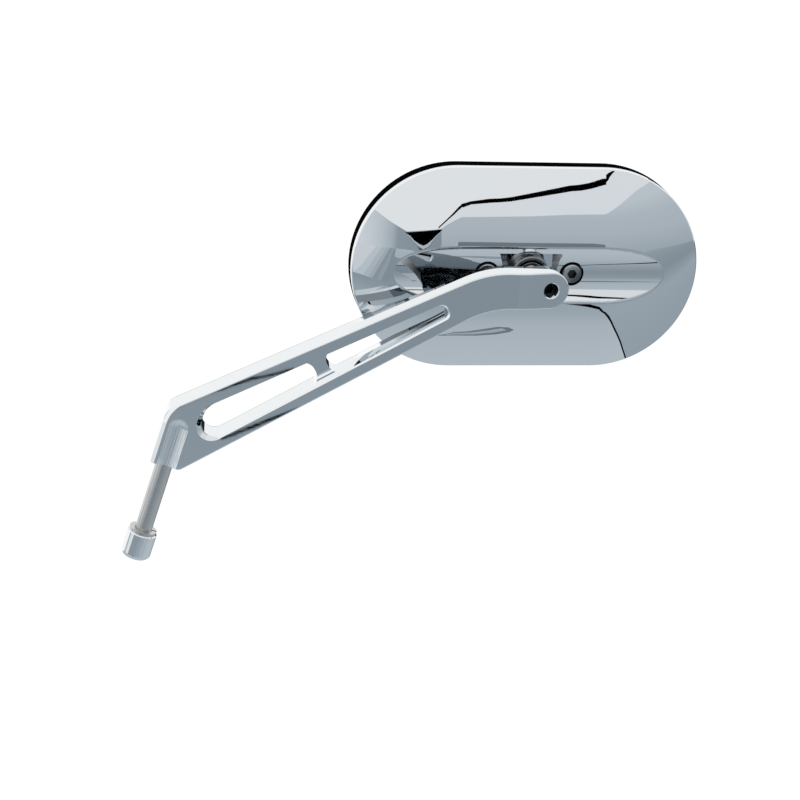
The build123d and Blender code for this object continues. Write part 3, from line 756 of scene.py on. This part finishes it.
def card(name, rows, tone):
    """A matt card, seen only in the chrome: rows of points, and one level or levels along an axis."""
    shader = Shader(name)
    tree = shader.tree
    glow = shader.add("Emission")
    shader.join(glow.outputs["Emission"], tree.nodes["Material Output"].inputs["Surface"])
    tree.nodes.remove(shader.surface)
    if isinstance(tone, float):
        glow.inputs["Color"].default_value = (*grey(tone), 1.0)
    else:
        axis, levels = tone
        first, last = levels[0][0], levels[-1][0]
        along = shader.span(shader.axes(shader.place())[axis], 0.0, 1.0, first, last)
        stops = [((place - first) / (last - first), grey(level)) for place, level in levels]
        shader.join(shader.ramp(along, stops), glow.inputs["Color"])
    width = len(rows[0])
    corners = [row * width + column for row in range(len(rows) - 1) for column in range(width - 1)]
    faces = [(corner, corner + 1, corner + width + 1, corner + width) for corner in corners]
    piece = new_mesh(name, [point for row in rows for point in row], faces)
    piece.data.materials.append(shader.material)
    piece.visible_camera = False
    piece.visible_diffuse = False
    piece.visible_transmission = False
    piece.visible_shadow = False


def floor_card(name, edges, height, tone):
    """A lying card from pairs of its left and right edge, each a place in X and Y."""
    level = floor_level + height
    card(name, [[(*left, level), (*right, level)] for left, right in edges], tone)


def sky_card(name, lower, upper, distance, tone):
    """A standing card between two lines of azimuths and elevations."""
    card(name, [[towards(*point, distance) for point in line] for line in (lower, upper)], tone)


def under(line, elevation):
    """A level line under another."""
    return [(azimuth, elevation) for azimuth, _ in line]


def sweep_cards():
    """The sweep's two halves with their dark seam, the shade behind them and the pale cards at the left."""
    left, right, front, back = sweep_ends
    main = [((left, y), (right, y)) for y in (front, back)]
    side = [((sweep_seam[0][0][0], front), (right, front))]
    side += [(edge, (right, edge[1])) for edge, _ in sweep_seam]
    shade = [((shade_left, y), (right, y)) for y in (back, shade_back)]
    floor_card("sweep_main", main, sweep_height, sweep_tones)
    floor_card("sweep_side", side, strip_height, side_tones)
    floor_card("sweep_seam", sweep_seam, seam_height, black)
    floor_card("back_shade", shade, sweep_height, shade_tone)
    floor_card("side_light", pale_side, seam_height, pale)
    for number, level in enumerate(fan_levels):
        ends = [((line[number + 1], y), (line[number], y)) for y, line in (fan_near, fan_far)]
        floor_card("fan_%d" % number, ends, strip_height, level)


def sweep_marks():
    """Dark marks on the sweep: the eye with its paler middle, the patch at the left and the streaks."""
    middle = []
    for x, far, near in eye[1:-1]:
        border = (near - far) * eye_border
        middle.append(((x, far + border), (x, near - border)))
    floor_card("eye", [((x, far), (x, near)) for x, far, near in eye], mark_height, dark)
    floor_card("eye_middle", middle, inner_height, eye_middle)
    floor_card("dark_patch", dark_patch, mark_height, black)
    for number, streak in enumerate(streaks):
        sides = [((x, y - streak_half_width), (x, y + streak_half_width)) for x, y in streak]
        floor_card("streak_%d" % number, sides, mark_height, black)


def wall_cards():
    """The grey walls and the dark band at their foot, with the pale panel and the ceiling over them."""
    sky_card("wall_right", under(right_top, wall_base), right_top, wall_distance, wall_tones)
    sky_card("wall_left", under(left_top, wall_base), left_top, wall_distance, left_tones)
    sky_card("wall_foot", under(band_top, band_base), band_top, band_distance, dark)
    sky_card("pale_panel", under(panel_top, panel_base), panel_top, panel_distance, panel_tone)
    ceiling = [
        [towards(azimuth, elevation, ceiling_distance) for azimuth in ceiling_azimuths]
        for elevation in ceiling_elevations
    ]
    card("ceiling", ceiling, pale)


def wall_marks():
    """Dark marks on the walls: the line along the panel, and the wedge with its rims."""
    sky_card("dark_line", line_foot, line_head, line_distance, black)
    wedge_head = [(azimuth, wedge_level + wedge_rise * azimuth) for azimuth, _ in wedge_foot]
    for name, drop, distance, level in wedge_rims:
        foot = []
        for azimuth, elevation in wedge_foot:
            nearness = 1 - abs(azimuth - wedge_tip) / wedge_reach
            foot.append((azimuth, elevation - drop * nearness))
        sky_card(name, foot, wedge_head, distance, level)
    sky_card("dark_wedge", wedge_foot, wedge_head, wedge_distance, black)


def seen_directly(tree):
    """1 for rays that look at the stage: from the camera, from metal or through glass."""
    path = tree.nodes.new("ShaderNodeLightPath")
    total = path.outputs["Is Camera Ray"]
    for name in ("Is Glossy Ray", "Is Transmission Ray"):
        either = tree.nodes.new("ShaderNodeMath")
        either.operation = "MAXIMUM"
        tree.links.new(total, either.inputs[0])
        tree.links.new(path.outputs[name], either.inputs[1])
        total = either.outputs["Value"]
    return total


def floor():
    """Pale floor: white to the camera and in the chrome, with the object's shadow kept."""
    half = floor_size / 2
    corners = [(-half, -half), (half, -half), (half, half), (-half, half)]
    piece = new_mesh("floor", [(*corner, floor_level) for corner in corners], [(0, 1, 2, 3)])
    shader = Shader("floor_paper")
    tree = shader.tree
    tree.nodes.remove(shader.surface)
    paper = shader.add("BsdfDiffuse")
    paper.inputs["Color"].default_value = (floor_paper, floor_paper, floor_paper, 1.0)
    shade = shader.add("BsdfDiffuse")
    shade.inputs["Color"].default_value = (floor_shade, floor_shade, floor_shade, 1.0)
    glow = shader.add("Emission")
    away = shader.add("VectorMath", operation="LENGTH")
    shader.join(shader.place(), away.inputs[0])
    shader.join(shader.span(away.outputs["Value"], *floor_glow, *glow_reach), glow.inputs["Strength"])
    white = shader.add("AddShader")
    shader.join(shade.outputs["BSDF"], white.inputs[0])
    shader.join(glow.outputs["Emission"], white.inputs[1])
    choice = shader.add("MixShader")
    shader.join(seen_directly(tree), choice.inputs["Fac"])
    shader.join(paper.outputs["BSDF"], choice.inputs[1])
    shader.join(white.outputs["Shader"], choice.inputs[2])
    shader.join(choice.outputs["Shader"], tree.nodes["Material Output"].inputs["Surface"])
    piece.data.materials.append(shader.material)


def world():
    """White surroundings to the camera and in the chrome, and a softer even light on everything."""
    surroundings = bpy.data.worlds.new("studio")
    surroundings.use_nodes = True
    tree = surroundings.node_tree
    soft = tree.nodes["Background"]
    soft.inputs["Color"].default_value = (*even_light, 1.0)
    soft.inputs["Strength"].default_value = even_strength
    white = tree.nodes.new("ShaderNodeBackground")
    white.inputs["Color"].default_value = (1.0, 1.0, 1.0, 1.0)
    choice = tree.nodes.new("ShaderNodeMixShader")
    tree.links.new(seen_directly(tree), choice.inputs["Fac"])
    tree.links.new(soft.outputs["Background"], choice.inputs[1])
    tree.links.new(white.outputs["Background"], choice.inputs[2])
    tree.links.new(choice.outputs["Shader"], tree.nodes["World Output"].inputs["Surface"])
    bpy.context.scene.world = surroundings


def lamp(name, place, size, power):
    """A soft box that lights matt surfaces; the chrome mirrors the cards instead."""
    data = bpy.data.lights.new(name, "AREA")
    data.size = size
    data.energy = power
    light = bpy.data.objects.new(name, data)
    light.location = place
    light.rotation_euler = (lamp_aim - place).to_track_quat("-Z", "Y").to_euler()
    light.visible_glossy = False
    bpy.context.scene.collection.objects.link(light)


def camera():
    """The photograph's view: its direction, roll and scale, with the part's origin at its pixel."""
    back = Vector((
        -sin(camera_azimuth) * cos(camera_elevation),
        -cos(camera_azimuth) * cos(camera_elevation),
        sin(camera_elevation),
    ))
    level = Vector((cos(camera_azimuth), -sin(camera_azimuth), 0))
    upright = back.cross(level)
    right = level * cos(camera_roll) + upright * sin(camera_roll)
    up = upright * cos(camera_roll) - level * sin(camera_roll)
    middle = image_pixels / 2
    focal_pixels = middle / tan(field_of_view / 2)
    aside = (origin_pixel[0] - middle) / focal_pixels
    below = (origin_pixel[1] - middle) / focal_pixels
    place = -(right * aside - up * below - back) * focal_pixels * metres_per_pixel
    data = bpy.data.cameras.new("camera")
    data.sensor_fit = "HORIZONTAL"
    data.angle = field_of_view
    data.clip_start = camera_near
    view = bpy.data.objects.new("camera", data)
    view.matrix_world = Matrix.Translation(place) @ Matrix((right, up, back)).transposed().to_4x4()
    bpy.context.scene.collection.objects.link(view)
    bpy.context.scene.camera = view


finishes = dress()
threaded_stud(finishes["mounting_stud"])
floor()
sweep_cards()
sweep_marks()
wall_cards()
wall_marks()
world()
for box in soft_boxes:
    lamp(*box)
camera()
bpy.context.scene.view_settings.view_transform = "Standard"
bpy.context.scene.cycles.glossy_bounces = glossy_bounces
